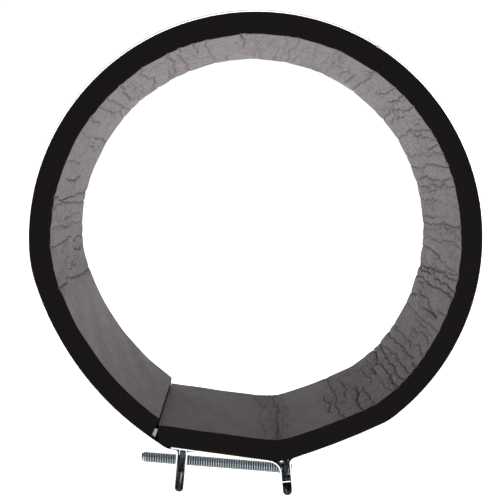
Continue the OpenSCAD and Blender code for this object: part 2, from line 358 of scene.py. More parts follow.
class Wire:
    """A socket of a node tree that can be added, multiplied and passed on."""

    def __init__(self, tree, socket=None):
        self.tree = tree
        self.socket = socket

    def node(self, kind, settings=None, sockets=None, out=0):
        """Adds a node: its settings first, then the values or links of its sockets."""
        new = self.tree.nodes.new(kind)
        for key, value in (settings or {}).items():
            if key == "stops":
                while len(new.color_ramp.elements) < len(value):
                    new.color_ramp.elements.new(0.5)
                for element, (place, tint) in zip(new.color_ramp.elements, value):
                    element.position = place
                    element.color = tint if len(tint) == 4 else (*tint, 1)
            else:
                setattr(new, key, value)
        for key, value in (sockets or {}).items():
            target = find_socket(new.inputs, key)
            if isinstance(value, Wire):
                self.tree.links.new(value.socket, target)
            elif hasattr(value, "__len__") and target.type == "RGBA" and len(value) == 3:
                target.default_value = (*value, 1)
            else:
                target.default_value = value
        return Wire(self.tree, find_socket(new.outputs, out) if new.outputs else None)

    def sum_with(self, operation, other, swapped=False):
        first, second = (other, self) if swapped else (self, other)
        kinds = {w.socket.type for w in (first, second) if isinstance(w, Wire)}
        if "RGBA" in kinds:
            sides = {"Factor_Float": 1.0, "A_Color": first, "B_Color": second}
            choice = {"data_type": "RGBA", "blend_type": operation}
            return self.node("ShaderNodeMix", choice, sides, "Result_Color")
        if "VECTOR" in kinds:
            return self.node("ShaderNodeVectorMath", {"operation": operation}, {0: first, 1: second})
        return self.node("ShaderNodeMath", {"operation": operation}, {0: first, 1: second})

    def __add__(self, other):
        return self.sum_with("ADD", other)

    def __radd__(self, other):
        return self.sum_with("ADD", other, swapped=True)

    def __sub__(self, other):
        return self.sum_with("SUBTRACT", other)

    def __rsub__(self, other):
        return self.sum_with("SUBTRACT", other, swapped=True)

    def __mul__(self, other):
        return self.sum_with("MULTIPLY", other)

    def __rmul__(self, other):
        return self.sum_with("MULTIPLY", other, swapped=True)

    def between(self, low, high):
        """0 below low, 1 above high, and a soft step from one to the other."""
        choice = {"interpolation_type": "SMOOTHSTEP"}
        return self.node("ShaderNodeMapRange", choice, {"Value": self, "From Min": low, "From Max": high})

    def choose(self, first, second):
        """A colour: first where this mask is 0 and second where it is 1."""
        sides = {"Factor_Float": self, "A_Color": first, "B_Color": second}
        return self.node("ShaderNodeMix", {"data_type": "RGBA"}, sides, "Result_Color")

    def noise(self, size, detail=3.0, rough=0.55):
        """Noise from 0 to 1 over a place given as a vector, size lumps to a unit."""
        sockets = {"Vector": self, "Scale": size, "Detail": detail, "Roughness": rough}
        return self.node("ShaderNodeTexNoise", {}, sockets)


def start_material(name):
    """An empty material, and a wire that can add nodes to it."""
    material = bpy.data.materials.new(name)
    material.use_nodes = True
    material.node_tree.nodes.clear()
    return material, Wire(material.node_tree)


def close_material(start, sockets, height=None, distance=0.001):
    """The surface shader and output. A height goes through a Bump node to the normal."""
    if height is not None:
        bump = {"Height": height, "Strength": 1.0, "Distance": distance}
        sockets = {**sockets, "Normal": start.node("ShaderNodeBump", {}, bump)}
    shader = start.node("ShaderNodeBsdfPrincipled", {}, sockets)
    start.node("ShaderNodeOutputMaterial", {}, {"Surface": shader})


print("the socket wrapper is ready")

# %% [markdown]
# ## Finishes
#
# The clamp has a bright zinc strip, a liner with cracked grey skin and black cut edges, amber
# glue, and screws and nuts in bluish zinc. Each could be one plain colour, but real surfaces
# vary, so noise in the band's own coordinates (millimetres along and across) drives small
# changes of tone, gloss and relief that follow every bend of the strip.
#
# The strip comes first. It was rolled before it was plated, so faint streaks run along it,
# with a soft bloom over them. The streaks are noise that is stretched along the band.

# %% Bright zinc strip
zinc_strip, start = start_material("zinc_strip")
lie = start.node("ShaderNodeUVMap", {"uv_map": "lie"})
rolling = (lie * (0.02, 3.0, 0.0)).noise(1.0)
cloud = (lie * (0.06, 0.09, 0.0)).noise(1.0)
bloom = (lie * (0.9, 0.9, 0.0)).noise(1.0, detail=5.0).between(0.45, 0.75)
tone = cloud.between(0.3, 0.7).choose((0.70, 0.73, 0.76), (0.80, 0.80, 0.79))
close_material(start, {
    "Base Color": (bloom * 0.3).choose(tone, (0.60, 0.64, 0.68)),
    "Roughness": 0.16 + rolling * 0.14 + bloom * 0.08,
    "Metallic": 1.0,
}, height=rolling, distance=0.00003)
print("zinc strip:", len(zinc_strip.node_tree.nodes), "nodes")

# %% [markdown]
# ### The liner's skin
#
# The skin is thick rubber foam that was bent inwards, so it is crazed: long creases run
# across it, with a network of finer cracks between. The long creases are cut into the mesh
# later and stored as an attribute; the fine network is a cell texture stretched by noise,
# which is cheap and follows the surface. Both darken the colour nearly to black, partly as the black foam
# under the torn skin and partly as painted shade in the slits, and both roughen the relief.

# %% Cracked grey skin
liner_skin, start = start_material("liner_skin")
lie = start.node("ShaderNodeUVMap", {"uv_map": "lie"})
crease = start.node("ShaderNodeAttribute", {"attribute_name": "crease"}, out="Fac")
crazing = start.node("ShaderNodeAttribute", {"attribute_name": "crazing"}, out="Fac")
wander = start.node("ShaderNodeTexNoise", {}, {"Vector": lie * (0.35, 0.35, 0.0), "Scale": 1.0}, "Color")
drift = start.node("ShaderNodeVectorMath", {"operation": "SUBTRACT"}, {0: wander, 1: (0.5, 0.5, 0.5)})
bent = lie + drift * (6.0, 6.0, 0.0)


def cracks(place, width):
    """1 along the borders of crazed cells and 0 inside them."""
    cells = place.node("ShaderNodeTexVoronoi", {"feature": "DISTANCE_TO_EDGE"},
                       {"Vector": place, "Scale": 1.0}, "Distance")
    return 1 - cells.between(0.0, width)


patches = (lie * (0.08, 0.05, 0.0)).noise(1.0).between(0.38, 0.60)
coarse = cracks(bent * (0.21, 0.12, 0.0), 0.05) * crazing * patches
fine = cracks(bent * (0.62, 0.30, 0.0), 0.10) * (0.15 + crazing * 0.85)
grain = (lie * (1.1, 1.1, 0.0)).noise(1.0, detail=6.0, rough=0.75)
mottle = (lie * (0.16, 0.12, 0.0)).noise(1.0, detail=8.0, rough=0.65).between(0.3, 0.72)
pits = (lie * (0.8, 0.8, 0.0)).noise(1.0, detail=1.0).between(0.70, 0.76)
# The crease and crack lines darken the colour nearly to black: partly the black foam under the torn skin,
# partly painted shade in the slits.
lines = start.node("ShaderNodeMath", {"operation": "MAXIMUM"}, {0: crease, 1: coarse * 0.75})
crack_lines_and_shade = start.node("ShaderNodeMath", {"operation": "MAXIMUM"}, {0: lines, 1: fine * 0.42})
tone = mottle.choose((0.118, 0.096, 0.100), (0.184, 0.155, 0.160))
tone = (grain.between(0.40, 0.64) * 0.75).choose(tone, (0.258, 0.218, 0.225))
close_material(start, {
    "Base Color": (crack_lines_and_shade * 0.95).choose(tone, (0.018, 0.015, 0.016)),
    "Roughness": 0.62 + grain * 0.22,
    "Specular IOR Level": 0.45,
}, height=grain * 0.42 - coarse * 0.8 - fine * 0.4 - pits * 0.5, distance=0.0004)
print("liner skin:", len(liner_skin.node_tree.nodes), "nodes")

# %% [markdown]
# ### The liner's cut edge
#
# Where the knife went through, the foam is close to black and swallows light. A black colour
# alone would look like a hole in the picture, so fine pores and the drag of the blade give it
# a little relief, and a few pale scuffs break it up. Its mirror shine is nearly nil.

# %% Black cut edge of the liner
liner_cut, start = start_material("liner_cut")
lie = start.node("ShaderNodeUVMap", {"uv_map": "lie"})
pores = (lie * (3.0, 3.0, 0.0)).noise(1.0, detail=4.0)
drag = (lie * (0.10, 1.6, 0.0)).noise(1.0, detail=4.0)
scuff = (lie * (0.7, 0.9, 0.0)).noise(1.0, detail=2.0).between(0.76, 0.80)
tone = drag.between(0.3, 0.7).choose((0.0062, 0.0053, 0.0055), (0.0074, 0.0064, 0.0065))
close_material(start, {
    "Base Color": (scuff * 0.6).choose(tone, (0.060, 0.052, 0.048)),
    "Roughness": 0.78 + pores * 0.15,
    "Specular IOR Level": 0.03,
}, height=pores * 0.6 + drag * 0.4, distance=0.00025)
print("liner cut edge:", len(liner_cut.node_tree.nodes), "nodes")

# %% [markdown]
# ### Contact glue
#
# The glue dried to a thin amber skin with strings in it. It could be a glass-like material
# that light passes through, but at this thickness a glossy, streaky surface looks the same
# and renders much faster.

# %% Amber contact glue
glue_film, start = start_material("glue_film")
lie = start.node("ShaderNodeUVMap", {"uv_map": "lie"})
strings = (lie * (0.4, 1.5, 0.0)).noise(1.0, detail=4.0)
tone = strings.between(0.3, 0.7).choose((0.30, 0.17, 0.06), (0.62, 0.40, 0.18))
close_material(start, {
    "Base Color": tone,
    "Roughness": 0.28 + strings * 0.2,
    "Coat Weight": strings * 0.5,
}, height=strings, distance=0.0003)
print("glue:", len(glue_film.node_tree.nodes), "nodes")


# %% [markdown]
# ### Bluish zinc
#
# Screws and nuts are plated in a bluer, duller zinc than the strip. On the thread the crests
# stay bright and the roots are painted dark as shade. A shade mask could be baked for that, but the
# thread knows its own depth, so each point stores it and the material reads it back. The
# nuts sit in the folds, and their zinc is painted nearly black as the shade of the folds.

# %% Bluish zinc for screws and nuts
def bluish_zinc(name, crest, root_shade):
    """Zinc that is rougher and painted dark as shade in the roots of the thread, and bright on the crests.
    """
    material, start = start_material(name)
    place = start.node("ShaderNodeTexCoord", out="Object")
    depth = start.node("ShaderNodeAttribute", {"attribute_name": "groove"}, out="Fac")
    haze = (place * (90.0, 420.0, 420.0)).noise(1.0, detail=4.0)
    speck = (place * (1400.0, 1400.0, 1400.0)).noise(1.0)
    # Painted shade: the deeper a point lies in the thread's groove, the nearer its colour comes to the dark
    # root colour.
    tone = depth.choose(crest, root_shade)
    close_material(start, {
        "Base Color": (haze.between(0.4, 0.75) * 0.3).choose(tone, (0.26, 0.30, 0.32)),
        "Roughness": 0.20 + haze * 0.16 + depth * 0.15,
        "Metallic": 1.0,
    }, height=speck, distance=0.00001)
    print(name + ":", len(material.node_tree.nodes), "nodes")
    return material


zinc_screw = bluish_zinc("zinc_screw", (0.64, 0.68, 0.70), (0.055, 0.070, 0.080))
# Painted shade: the nuts' zinc is nearly black to stand for the shade inside the left fold, and the screw
# heads in the right fold use it too.
zinc_nut = bluish_zinc("zinc_nut", (0.07, 0.075, 0.08), (0.05, 0.06, 0.065))
# Painted shade: the lanced tab is cut from the bright strip, but its zinc is painted darker as the shade of
# the gap between the liner's ends.
zinc_lance = bluish_zinc("zinc_lance", (0.20, 0.23, 0.24), (0.10, 0.12, 0.13))


def dress(piece, *materials):
    """Gives a piece its materials."""
    for material in materials:
        piece.data.materials.append(material)
    return piece


# %% [markdown]
# ## The steel strip
#
# On the clamp this is one strip 0.7 mm thick, rolled round, with both ends folded over into
# hollow lugs. It could be a plane with a Solidify modifier, but sweeping the strip's own
# rectangle with slightly dulled edges gives a closed mesh at once. It comes in three
# lengths: the right half, the springy top and the left half.

# %% The strip in three lengths
right_path = right_ring + right_lug + [flap]
top_start, top_path = on_ring(TOP_FROM, 1), [(LINE_R, TOP_TO - TOP_FROM)]
spans = {
    "right": (right_start, right_path, -1, arc_from_flex(TOP_FROM)),
    "top": (top_start, top_path, 1, arc_from_flex(TOP_FROM)),
    "left": (left_start, left_side + left_lug, 1, arc_from_flex(TOP_TO)),
}
strips = {}
for part, (begin_pose, path, side, begin) in spans.items():
    rows = rows_along(begin_pose, path, side, begin=begin)
    mesh = sweep("strip_" + part, rows, *strip_section)
    strips[part] = add_object("strip_" + part, mesh)
    print("strip", part, "has", len(rows), "rows")

# %% [markdown]
# ### Holes
#
# The screws pass through both lugs. The left lug swings as the ring opens, so its holes are
# long ones. Holes could be drawn into the sweep, but a boolean cut along the screw's own
# axis puts them exactly where the screw runs, through both leaning legs at once.

# %% Where the screws run
tilt = math.radians(SCREW_TILT)
to_screw = Matrix.Translation((-SCREW_DROP * math.sin(tilt) * MM, 0, -SCREW_DROP * math.cos(tilt) * MM))
to_screw = to_screw @ Matrix.Rotation(tilt, 4, "Y")


def along_screw(tip):
    """Where a fold's middle line crosses the screw axis, counted along the axis in mm."""
    x, z, heading = tip
    heading = math.radians(heading)
    dx, dz = x + SCREW_DROP * math.sin(tilt), z + SCREW_DROP * math.cos(tilt)
    level = math.cos(tilt) * math.sin(heading) + math.sin(tilt) * math.cos(heading)
    return (dx * math.sin(heading) - dz * math.cos(heading)) / level


left_middle = (*fold_centre(left_tip, LEFT_GAP / 2, 1), left_tip[2])
right_middle = (*fold_centre(right_tip, RIGHT_GAP / 2, -1), right_tip[2])
nut_at, head_at = along_screw(left_middle), along_screw(right_middle)
print("nut at", round(nut_at, 2), "and head at", round(head_at, 2), "mm along the screw")

# %% Cutting the holes
SCREW_D, HOLE_PLAY, SLOT_DOWN = 6.35, 0.45, 1.35
HOLE_R = SCREW_D / 2 + HOLE_PLAY
HOLE_STEP = 6


def cut_holes(piece, middle, reach, slot_down):
    """Cuts a round or long hole along each screw's axis through one lug."""
    for y in (-SCREW_Y, SCREW_Y):
        cutter = bmesh.new()
        half = [math.radians(a) for a in range(0, 181, HOLE_STEP)]
        outline = [(math.cos(a) * HOLE_R, math.sin(a) * HOLE_R) for a in half]
        lower = half if slot_down else half[1:-1]
        outline += [(-math.cos(a) * HOLE_R, -math.sin(a) * HOLE_R - slot_down) for a in lower]
        loops = []
        for x in (middle - reach, middle + reach):
            loops.append([cutter.verts.new((x * MM, (y + p) * MM, q * MM)) for p, q in outline])
        cutter.faces.new(loops[0])
        cutter.faces.new(loops[1])
        for k in range(len(outline)):
            n = (k + 1) % len(outline)
            cutter.faces.new((loops[0][k], loops[0][n], loops[1][n], loops[1][k]))
        bmesh.ops.recalc_face_normals(cutter, faces=cutter.faces)
        tool_mesh = bpy.data.meshes.new("cutter")
        cutter.to_mesh(tool_mesh)
        cutter.free()
        tool_mesh.transform(to_screw)
        tool = add_object("cutter", tool_mesh)
        cut = piece.modifiers.new("hole", "BOOLEAN")
        cut.operation, cut.solver, cut.object = "DIFFERENCE", "EXACT", tool
        shaped = piece.evaluated_get(bpy.context.evaluated_depsgraph_get())
        drilled = bpy.data.meshes.new_from_object(shaped)
        piece.modifiers.clear()
        piece.data = drilled
        bpy.data.objects.remove(tool)


for piece in strips.values():
    finish_mesh(piece.data)
cut_holes(strips["left"], nut_at, LEFT_GAP / 2 + 2 * STRIP_T, SLOT_DOWN)
cut_holes(strips["right"], head_at, RIGHT_GAP / 2 + 3 * STRIP_T, 0)
print("holes of radius", HOLE_R, "mm, and the left ones are", SLOT_DOWN, "mm longer")

# %% [markdown]
# ### Small tabs
#
# Two tabs, one at each edge, hold the right fold open. On the left a tab is lanced up from
# the strip: it stands in the gap between the liner's ends and shows there as a dull bright
# patch. They could be objects of their own, but on the clamp they are the same sheet, so
# each is a small bar that is swept like the strip and joined to its mesh.

# %% Joining a small bar to a piece
def join_bar(piece, rows, section, shift, finish_at=0):
    """Sweeps a small bar, shifted along Y, and joins it to a piece with one of its finishes."""
    offsets, widths = section
    bar = sweep("bar", rows, offsets, widths + shift, [finish_at] * len(widths))
    finish_mesh(bar)
    whole = bmesh.new()
    whole.from_mesh(piece.data)
    whole.from_mesh(bar)
    whole.to_mesh(piece.data)
    whole.free()
    bpy.data.meshes.remove(bar)


TAB_W, TAB_RISE, TAB_BITE = 4.0, 7.5, 0.3
lean = math.radians(RIGHT_LEAN)
rise, reach = TAB_RISE - RIGHT_GAP / 2 - STRIP_T / 2, RIGHT_GAP / 2 + TAB_BITE
tab_x = right_middle[0] - reach * math.cos(lean) - rise * math.sin(lean)
tab_z = right_middle[1] - reach * math.sin(lean) + rise * math.cos(lean)
across_fold = rows_along((tab_x, tab_z, RIGHT_LEAN), [(0, RIGHT_GAP - GAP + TAB_BITE)], 1)
tab_section = rounded_section(-STRIP_T / 2, STRIP_T / 2, TAB_W, EDGE_SOFTEN)
for y_side in (-1, 1):
    join_bar(strips["right"], across_fold, tab_section, y_side * (BAND_W - TAB_W) / 2)
print("two fold tabs,", TAB_W, "mm wide")

# %% The lanced tab, and the strip's finish
LANCE_W, LANCE_L, LANCE_LEAN, LANCE_BACK = 2.2, 5.3, 18.0, 1.4
LANCE_FROM_BUTT = 3.2
run_down = rows_along(left_start, left_side, 1, cell=0.5)
lance_x = butt_x - LANCE_FROM_BUTT
lance_z = np.interp(lance_x, run_down[:, 0], run_down[:, 1])
standing = rows_along((lance_x, lance_z, 90 - LANCE_LEAN), [(0, LANCE_L)], 1)
lance_section = rounded_section(-LANCE_W / 2, LANCE_W / 2, STRIP_T, EDGE_SOFTEN)
# The lanced tab takes the second finish, painted darker than the strip as the shade of the gap.
join_bar(strips["left"], standing, lance_section, LANCE_BACK - BAND_W / 2, finish_at=1)
for part, piece in strips.items():
    finish_mesh(piece.data)
    dress(piece, *([zinc_strip, zinc_lance] if part == "left" else [zinc_strip]))
    print("strip", part, "has", len(piece.data.polygons), "faces")


def ride_on_ring(pieces, node):
    """The right length rides on the main body, the left on the tail, and the top stays where it is."""
    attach(pieces["right"], "main")
    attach(pieces["left"], "tail")
    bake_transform(pieces["top"])
    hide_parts(node + "_main")
    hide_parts(node + "_tail")
    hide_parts(node + "_main", node + "_tail")


ride_on_ring(strips, "band")

# %% [markdown]
# ## Creases in the liner
#
# Thick foam that is bent inwards has too much skin on its inside, so it gives way in creases
# that run from edge to edge, some whole and some broken, each with its own jagged line. A
# displacement texture would make them all alike. Here every crease is drawn as a line that
# wanders and now and then steps sideways, and the skin's points sink along it. All draws
# come from one seeded generator, so each run gives the same creases.

# %% Laying out the creases
draw = np.random.default_rng(41)
# From, to (mm along the band from the flex place), closest and widest spacing, depth in mm,
# how jagged, and the share of creases that run from edge to edge
zones = [
    (0.0, 198.0, 5.5, 11.0, 0.68, 0.36, 0.55),
    (-152.0, 0.0, 3.0, 7.0, 0.60, 0.44, 0.40),
    (-318.0, -152.0, 3.0, 7.0, 0.75, 0.48, 0.40),
    (-364.0, -343.0, 2.5, 4.5, 0.36, 0.60, 0.35),
]
CONTROL_STEP, STRAIGHTEN = 1.6, 0.93
STEP_CHANCE, LINK_CHANCE = 0.14, 0.55
control_y = np.arange(-BAND_W / 2, BAND_W / 2 + CONTROL_STEP, CONTROL_STEP)
creases = []
for low, high, near, wide, depth, jag, whole in zones:
    at = low + draw.uniform(0, near)
    while at < high:
        line = np.zeros(len(control_y))
        for k in range(1, len(line)):
            line[k] = line[k - 1] * STRAIGHTEN + draw.normal(0, jag)
            if draw.random() < STEP_CHANCE * jag:
                line[k] += draw.choice([-1, 1]) * draw.uniform(1.0, 2.4)
        line += draw.uniform(-0.03, 0.03) * control_y
        reach = (-BAND_W, BAND_W)
        if draw.random() > whole:
            middle, half = draw.uniform(-32, 32), draw.uniform(9, 26)
            reach = (middle - half, middle + half)
        creases.append((at, line, reach, depth * draw.uniform(0.45, 1.2)))
        at += draw.uniform(near, wide)
print(len(creases), "creases")

# %% Short links between the creases, and slow waves
links = []
for at, *_ in creases:
    if draw.random() < LINK_CHANCE:
        links.append((at, draw.uniform(-34, 34), draw.uniform(2.5, 7.0), draw.normal(0, 1.0)))
WAVES, WAVE_DEPTH = 9, 0.045
waves = [(draw.uniform(0.02, 0.16), draw.uniform(-0.12, 0.12), draw.uniform(0, 6.28)) for _ in range(WAVES)]
print(len(links), "short links")

# %% The skin's relief
# A crease is a narrow slit in a wider dent, and a link is a short fine crack beside it. Both
# fade out at their ends, and the points farther off than the near limits are left alone.
SLIT_WIDE, SLIT_SHARE = 0.40, 0.75
DENT_WIDE, DENT_SHARE = 2.4, 0.38
LINK_WIDE, LINK_DEPTH, LINK_MARK = 0.45, 0.25, 0.55
CREASE_NEAR, LINK_NEAR = 14, 12
FADE, LINK_FADE = 6, 1.5
# The skin swells a little where the liner bends over the right lug
BEND_AT, BEND_SWELL, BEND_WIDE = -352.2, 0.95, 8.0


def skin_relief(along, y):
    """Depth of the skin in mm, how strongly a crease marks it, and how crazed it is."""
    depth = np.zeros(np.broadcast(along, y).shape)
    mark = np.zeros_like(depth)
    for at, line, reach, deep in creases:
        rows = np.abs(along[:, 0] - at) < CREASE_NEAR
        if not rows.any():
            continue
        away = along[rows] - at - np.interp(y[0], control_y, line)[None, :]
        ends = np.minimum(y - reach[0], reach[1] - y)
        hold = np.clip(ends / FADE + 0.2, 0, 1)
        slit = np.exp(-(away / SLIT_WIDE) ** 2) * hold
        depth[rows] += deep * (slit * SLIT_SHARE + np.exp(-(away / DENT_WIDE) ** 2) * DENT_SHARE * hold)
        mark[rows] = np.maximum(mark[rows], slit * min(1.0, deep / 0.5))
    for at, middle, length, slant in links:
        rows = np.abs(along[:, 0] - at - length / 2) < LINK_NEAR
        if not rows.any():
            continue
        run = along[rows] - at
        away = y - middle - slant * run / max(length, 1)
        hold = np.clip(np.minimum(run, length - run) / LINK_FADE + 0.3, 0, 1)
        slit = np.exp(-(away / LINK_WIDE) ** 2) * hold
        depth[rows] += LINK_DEPTH * slit
        mark[rows] = np.maximum(mark[rows], slit * LINK_MARK)
    depth -= BEND_SWELL * np.exp(-((along - BEND_AT) / BEND_WIDE) ** 2)
    for rate, slant, phase in waves:
        depth += WAVE_DEPTH * np.sin(along * rate * 2 + y * slant * 2 + phase)
    crazed = np.zeros_like(depth)
    for low, high, *_ in zones:
        inside = np.minimum(along - low, high - along)
        crazed = np.maximum(crazed, np.clip(inside / 8 + 0.5, 0, 1) * np.ones_like(y))
    return depth, np.clip(mark, 0, 1), crazed


print("each crease is a slit", SLIT_WIDE, "mm wide in a dent", DENT_WIDE, "mm wide")

# %% [markdown]
# ## The liner
#
# The liner is one sheet of foam that is glued inside the band. Its section is a thick
# rectangle: a fine row of points for the skin, a small round over the rim, and the two cut
# edges. A subdivided box with a displacement could do, but swept like the strip it follows
# every bend, and the creases sink the skin's points, so they also notch the rims. The last
# stretch on the right lies over the band's tight corner, so its underside keeps clear of it.

# %% The liner's section
SKIN = -GLUE_T - LINER_T
RIM_R, RIM_TURNS = 0.4, (30, 60, 90)
SKIN_POINTS, WALL_POINTS = 100, 6
edge_y = BAND_W / 2
skin_y = np.linspace(-(edge_y - RIM_R), edge_y - RIM_R, SKIN_POINTS)
turns = [math.radians(a) for a in RIM_TURNS]
rim_y = [edge_y - RIM_R + RIM_R * math.sin(a) for a in turns]
rim_offset = [SKIN + RIM_R - RIM_R * math.cos(a) for a in turns]
wall = list(np.linspace(SKIN + RIM_R, -GLUE_T, WALL_POINTS + 1)[1:])
wall_y = [edge_y] * WALL_POINTS
liner_widths = np.array([*skin_y, *rim_y, *wall_y, *[-w for w in wall_y], *[-w for w in rim_y[::-1]]])
liner_offsets = np.array([*[SKIN] * SKIN_POINTS, *rim_offset, *wall, *wall[::-1], *rim_offset[::-1]])
# follows is 1 where a point sinks with the skin, and is_cut is 1 for each face of the cut edges
rim, walls = len(RIM_TURNS), 2 * WALL_POINTS
follows = np.array([1.0] * (SKIN_POINTS + rim) + [0.0] * walls + [1.0] * rim)
is_cut = np.array([0] * (SKIN_POINTS + rim - 2) + [1] * (walls + rim) + [0] * (rim - 1))
print("the liner's section has", len(liner_widths), "points")

# %% Room for the band's tight corner
corner_pose = last_pose(left_start, left_side, 1)
corner_c = fold_centre(corner_pose, CORNER_R, 1)
into = math.radians(corner_pose[2] + 90)
TRIES = 60


def room_at_corner(rows):
    """How far out each row may reach and stay clear of the band's tight corner."""
    limits = []
    for x, z, out_x, out_z, _ in rows:
        limit = -GLUE_T
        for d in np.linspace(-GLUE_T, SKIN + 1, TRIES):
            qx, qz = x + d * out_x, z + d * out_z
            off_line = (qx - corner_pose[0]) * math.cos(into) + (qz - corner_pose[1]) * math.sin(into)
            off_arc = CORNER_R - math.hypot(qx - corner_c[0], qz - corner_c[1])
            beside = qx < corner_c[0] and off_line < CORNER_R and qz < corner_c[1]
            if off_line >= GAP and (not beside or off_arc >= GAP):
                limit = d
                break
        limits.append(limit)
    return np.array(limits)


print("the corner that the liner keeps clear of has a radius of", CORNER_R, "mm")

# %% The liner in three lengths
SKIN_CELL = 0.48
liner_paths = {
    "right": (right_start, right_ring + liner_past + [liner_flap], -1, arc_from_flex(TOP_FROM)),
    "top": (top_start, top_path, 1, arc_from_flex(TOP_FROM)),
    "left": (left_start, left_side, 1, arc_from_flex(TOP_TO)),
}
liners = {}
for part, (begin_pose, path, side, begin) in liner_paths.items():
    rows = rows_along(begin_pose, path, side, cell=SKIN_CELL, begin=begin)
    depth, mark, crazed = skin_relief(rows[:, 4:5], liner_widths[None, :])
    offsets = liner_offsets[None, :] + depth * follows[None, :]
    if part == "right":
        room = (room_at_corner(rows)[:, None] - SKIN - RIM_R) / (LINER_T - RIM_R)
        squeezed = SKIN + RIM_R + (offsets - SKIN - RIM_R) * room
        offsets = np.where(follows[None, :] > 0, offsets, squeezed)
    mesh = sweep("liner_" + part, rows, offsets, liner_widths, finish_index=is_cut)
    for name, values in (("crease", mark * follows[None, :]), ("crazing", crazed * follows[None, :])):
        layer = mesh.attributes.new(name, "FLOAT", "POINT")
        layer.data.foreach_set("value", values.astype(np.float32).ravel())
    liners[part] = add_object("liner_" + part, mesh)
    print("liner", part, "has", len(mesh.vertices), "points")

# %% [markdown]
# ### Where the two ends of the liner meet
#
# The ends butt together at the lower left. Foam is cut with a knife, so the joint is a plane
# cut that leans a little, pressed shut near the skin and gaping at the front edge below it,
# where the lanced tab shows. A boolean could shape it, but both ends were made too long on
# purpose and are trimmed with a plane, as the knife did. A torn rag of foam, left on the
# strip, closes the foot of the gap.

# %% The knife
def knife(piece, point, normal):
    """Cuts off what lies beyond a plane and closes the cut."""
    work = bmesh.new()
    work.from_mesh(piece.data)
    parts = list(work.verts) + list(work.edges) + list(work.faces)
    cut = bmesh.ops.bisect_plane(work, geom=parts, dist=1e-7, plane_co=point, plane_no=normal,
                                 clear_outer=True)
    edges = [e for e in cut["geom_cut"] if isinstance(e, bmesh.types.BMEdge)]
    closed = bmesh.ops.edgeloop_fill(work, edges=edges)
    for face in closed["faces"]:
        face.material_index = 1
    work.to_mesh(piece.data)
    work.free()


print("the knife closes each cut with the cut edge's finish")

# %% Trimming the butt joint
heading = math.radians(corner_pose[2])
skin_x = corner_pose[0] + (GLUE_T + LINER_T) * math.cos(into)
skin_z = corner_pose[1] + (GLUE_T + LINER_T) * math.sin(into)
butt_skin_z = skin_z + (butt_x - skin_x) * math.tan(heading)
PRESSED, GAPE_CLOSES = 1.6, 0.10
slant, gape = math.radians(6), math.radians(24)
left_cut = ((butt_x - GAP / 2) * MM, 0, butt_skin_z * MM)
gape_from = (left_cut[0] - PRESSED * math.tan(slant) * MM, -edge_y * MM, (butt_skin_z - PRESSED) * MM)
right_cut = ((butt_x + GAP / 2) * MM, 0, butt_skin_z * MM)
knife(liners["left"], left_cut, (math.cos(slant), 0, -math.sin(slant)))
knife(liners["left"], gape_from, (math.cos(gape), -GAPE_CLOSES, -math.sin(gape)))
knife(liners["right"], right_cut, (-math.cos(slant), 0, math.sin(slant)))
print("the liner's ends meet at x =", round(butt_x, 2), "mm")

# %% The torn rag, and the liner's finishes and bodies
RAG_T, RAG_DEEP, RAG_SOFTEN = 1.0, 0.9, 0.1
RAG_FROM, RAG_TO = 5.5, 0.9
before_butt = butt_x - run_down[:, 0]
under_gap = run_down[(before_butt < RAG_FROM) & (before_butt > RAG_TO)]
rag_section = rounded_section(-RAG_T, 0, RAG_DEEP, RAG_SOFTEN)
join_bar(liners["left"], under_gap, rag_section, -(BAND_W - RAG_DEEP) / 2, finish_at=1)
for part, piece in liners.items():
    finish_mesh(piece.data, sharp=50)
    dress(piece, liner_skin, liner_cut)
ride_on_ring(liners, "liner")
print("the rag runs from", RAG_FROM, "to", RAG_TO, "mm before the butt")

# %% [markdown]
# ## The glue
#
# A thin film of contact glue holds the liner to the band. It shows only as a hair line and
# as a few amber beads that were squeezed out at the edge and dried there. The film is swept
# like the rest, slightly narrower than the band, and each bead is a small dented dome.

# %% The glue film's paths
FILM_BACK, FILM_SOFTEN, FILM_PAST = 0.15, 0.08, 0.6
UNDER_FLAP_AT = -360.0
film_section = rounded_section(-GLUE_T, 0, BAND_W - 2 * FILM_BACK, FILM_SOFTEN, corner_steps=2)
film_paths = {
    "glue_right": (right_start, right_ring, -1, arc_from_flex(TOP_FROM)),
    "glue_under_flap": (flap_start, [flap], -1, UNDER_FLAP_AT),
    "glue_top": (top_start, top_path, 1, arc_from_flex(TOP_FROM)),
    "glue_left": (left_start, left_ring + [(0, FILM_PAST)], 1, arc_from_flex(TOP_TO)),
}
print("the film stays", FILM_BACK, "mm inside each edge of the band")

# %% Squeezed beads
BEAD_LONG, BEAD_HIGH, BEAD_PROUD = 1.5, 0.8, 0.12


def add_bead(mesh, pose, side, y_side, size):
    """A dried bead of glue at the edge of the film, wider than it is high."""
    work = bmesh.new()
    work.from_mesh(mesh)
    bead = bmesh.ops.create_icosphere(work, subdivisions=3, radius=1.0)
    angle = math.radians(pose[2])
    for v in bead["verts"]:
        lump = 1 + 0.16 * math.sin(4.1 * v.co.x + size * 9) + 0.12 * math.sin(5.3 * v.co.z)
        run, out = v.co.x * size * BEAD_LONG * lump, v.co.z * size * BEAD_HIGH * lump
        x = pose[0] + run * math.cos(angle) + out * math.cos(angle - side * math.pi / 2)
        z = pose[1] + run * math.sin(angle) + out * math.sin(angle - side * math.pi / 2)
        v.co = Vector((x, y_side * (edge_y - BEAD_PROUD / 2) + v.co.y * BEAD_PROUD, z)) * MM
    work.to_mesh(mesh)
    work.free()


print("a bead stands", BEAD_PROUD / 2, "mm proud of the edge")

